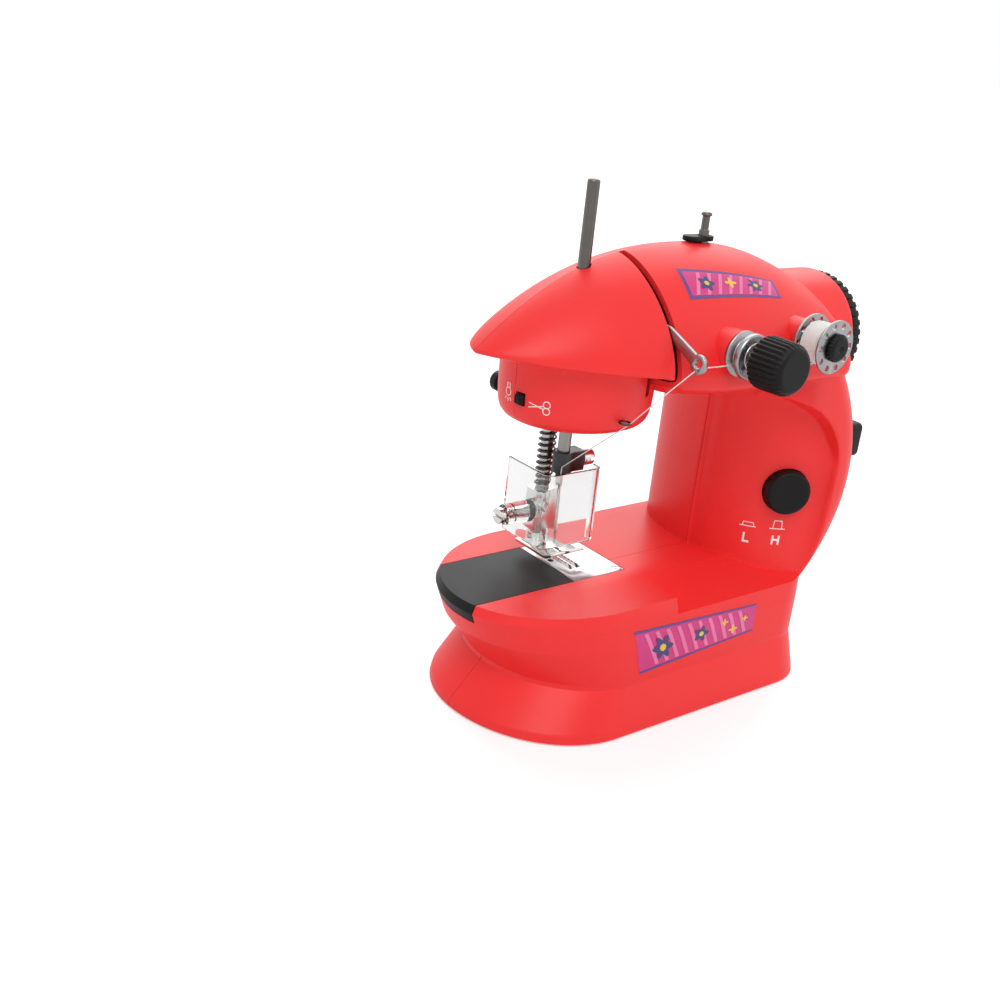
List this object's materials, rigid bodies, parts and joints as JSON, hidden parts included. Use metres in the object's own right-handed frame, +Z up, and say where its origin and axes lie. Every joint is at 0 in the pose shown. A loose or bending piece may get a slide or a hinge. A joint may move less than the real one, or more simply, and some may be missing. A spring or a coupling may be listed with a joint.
{
  "type": "toy sewing machine",
  "caption": "Small red free-arm style toy sewing machine with needle, presser foot, clear finger guard, hand wheel, bobbin winder, tension knob, spool pins and a belt drive inside.",
  "frame": {"origin": "on the table, in the middle of the base, at the parting plane of the two housing halves", "axes": "+X towards the column and the hand wheel, +Y towards the back, +Z up"},
  "size_m": [0.1795, 0.1121, 0.2003],
  "materials": {
    "red_plastic": "moulded, smooth gloss",
    "black_plastic": "moulded, satin",
    "grey_plastic": "moulded, satin",
    "white_plastic": "moulded nylon",
    "clear_plastic": "clear moulding",
    "nickel": "nickel plated",
    "steel": "ground",
    "dark_steel": "blackened",
    "brass": "sintered",
    "cast": "die cast",
    "rubber": "moulded",
    "thread": "spun cotton"
  },
  "bodies": {
    "housing": {"front_shell": "red_plastic", "rear_shell": "red_plastic", "bottom_cover": "grey_plastic", "rubber_feet": "rubber", "shell_screws": "steel", "needle_plate": "nickel", "plate_screws": "nickel", "frame": "cast", "shaft_bushes": "brass", "bar_bushes": "brass", "timing_belt": "rubber", "drive_belt": "rubber", "motor": "steel", "bobbin_case": "steel", "lower_bobbin": "nickel", "lever_pin": "steel", "thread_guide": "dark_steel", "tension_stud": "steel", "tension_discs": "nickel", "tension_spring": "nickel", "pin_base": "black_plastic", "lamp": "white_plastic"},
    "shaft_body": {"main_shaft": "steel", "handwheel": "black_plastic", "crank_disc": "dark_steel", "upper_pulley": "white_plastic", "drive_pulley": "white_plastic"},
    "lower_body": {"lower_shaft": "steel", "lower_pulley": "white_plastic", "shuttle_hook": "steel"},
    "motor_body": {"motor_pulley": "white_plastic"},
    "needle_body": {"needle_bar": "steel", "needle_yoke": "steel", "needle_clamp": "nickel", "clamp_screw": "nickel", "needle": "nickel"},
    "lever_body": {"take_up_lever": "nickel"},
    "feed_body": {"feed_dog": "steel"},
    "lifter_body": {"presser_lifter": "black_plastic"},
    "presser_body": {"presser_bar": "dark_steel", "presser_collar": "steel", "presser_spring": "dark_steel", "foot_holder": "nickel", "foot_screw": "nickel", "foot_pin": "steel", "finger_guard": "clear_plastic", "guard_screw": "nickel"},
    "foot_body": {"presser_foot": "nickel"},
    "knob_body": {"tension_knob": "black_plastic"},
    "winder_body": {"winder_spindle": "black_plastic", "winder_cap": "black_plastic", "top_bobbin": "nickel", "bobbin_thread": "thread"},
    "button_body": {"speed_button": "black_plastic"},
    "switch_body": {"side_switch": "black_plastic"},
    "light_body": {"light_switch": "black_plastic"},
    "cover_body": {"bobbin_cover": "black_plastic"},
    "door_body": {"battery_door": "grey_plastic"},
    "long_pin_body": {"spool_pin": "dark_steel"},
    "short_pin_body": {"short_pin": "dark_steel"}
  },
  "joints": [
    {"name": "handwheel_turn", "type": "hinge", "parent": "housing", "child": "shaft_body", "pos_m": [0, 0, 0.138], "axis": [1, 0, 0], "continuous": true},
    {"name": "lower_shaft_turn", "type": "hinge", "parent": "housing", "child": "lower_body", "pos_m": [0, 0.0097, 0.029], "axis": [1, 0, 0], "continuous": true},
    {"name": "motor_turn", "type": "hinge", "parent": "housing", "child": "motor_body", "pos_m": [0.06, -0.008, 0.095], "axis": [1, 0, 0], "continuous": true},
    {"name": "needle_bar_slide", "type": "slide", "parent": "housing", "child": "needle_body", "axis": [0, 0, 1], "range_m": [-0.022, 0]},
    {"name": "take_up_swing", "type": "hinge", "parent": "housing", "child": "lever_body", "pos_m": [-0.0223, 0, 0.155], "axis": [1, 0, 0], "range_deg": [0, 22]},
    {"name": "feed_slide", "type": "slide", "parent": "housing", "child": "feed_body", "axis": [0, 1, 0], "range_m": [-0.0016, 0]},
    {"name": "lifter_turn", "type": "hinge", "parent": "housing", "child": "lifter_body", "pos_m": [-0.041, 0, 0.1245], "axis": [0, 1, 0], "range_deg": [-40, 40]},
    {"name": "presser_slide", "type": "slide", "parent": "housing", "child": "presser_body", "axis": [0, 0, 1], "range_m": [-0.0022, 0.0022], "deforming": ["presser_spring"]},
    {"name": "foot_tilt", "type": "hinge", "parent": "presser_body", "child": "foot_body", "pos_m": [-0.0295, 0.019, 0.0575], "axis": [1, 0, 0], "range_deg": [-10, 6]},
    {"name": "tension_turn", "type": "hinge", "parent": "housing", "child": "knob_body", "pos_m": [0.0027, -0.055, 0.146], "axis": [0, 1, 0], "range_deg": [-180, 180]},
    {"name": "winder_turn", "type": "hinge", "parent": "housing", "child": "winder_body", "pos_m": [0.04, -0.05, 0.1483], "axis": [0, 1, 0], "continuous": true},
    {"name": "speed_button_press", "type": "slide", "parent": "housing", "child": "button_body", "axis": [0.4909, 0.8712, 0], "range_m": [0, 0.0025], "stiffness_N_per_m": 300},
    {"name": "side_switch_rock", "type": "hinge", "parent": "housing", "child": "switch_body", "pos_m": [0.084, -0.0344, 0.101], "axis": [0, 1, 0], "range_deg": [-4, 4]},
    {"name": "light_switch_press", "type": "slide", "parent": "housing", "child": "light_body", "axis": [1, 0, 0], "range_m": [0, 0.0005], "stiffness_N_per_m": 200},
    {"name": "bobbin_cover_slide", "type": "slide", "parent": "housing", "child": "cover_body", "axis": [-1, 0, 0], "range_m": [0, 0.04]},
    {"name": "battery_door_swing", "type": "hinge", "parent": "housing", "child": "door_body", "pos_m": [0.0006, -0.02, 0.0028], "axis": [0, 1, 0], "range_deg": [0, 100]},
    {"name": "spool_pin_slide", "type": "slide", "parent": "housing", "child": "long_pin_body", "axis": [0, 0, 1], "range_m": [-0.02, 0]},
    {"name": "short_pin_slide", "type": "slide", "parent": "housing", "child": "short_pin_body", "axis": [0, 0, 1], "range_m": [0, 0.016]}
  ],
  "couplings": [
    {"joint": "lower_shaft_turn", "follows": "handwheel_turn", "ratio": 2},
    {"joint": "motor_turn", "follows": "handwheel_turn", "ratio": 3},
    {"joint": "take_up_swing", "follows": "needle_bar_slide", "rad_per_m": -17.453},
    {"joint": "feed_slide", "follows": "needle_bar_slide", "ratio": 0.072727},
    {"joint": "lifter_turn", "follows": "presser_slide", "rad_per_m": 317.33}
  ]
}
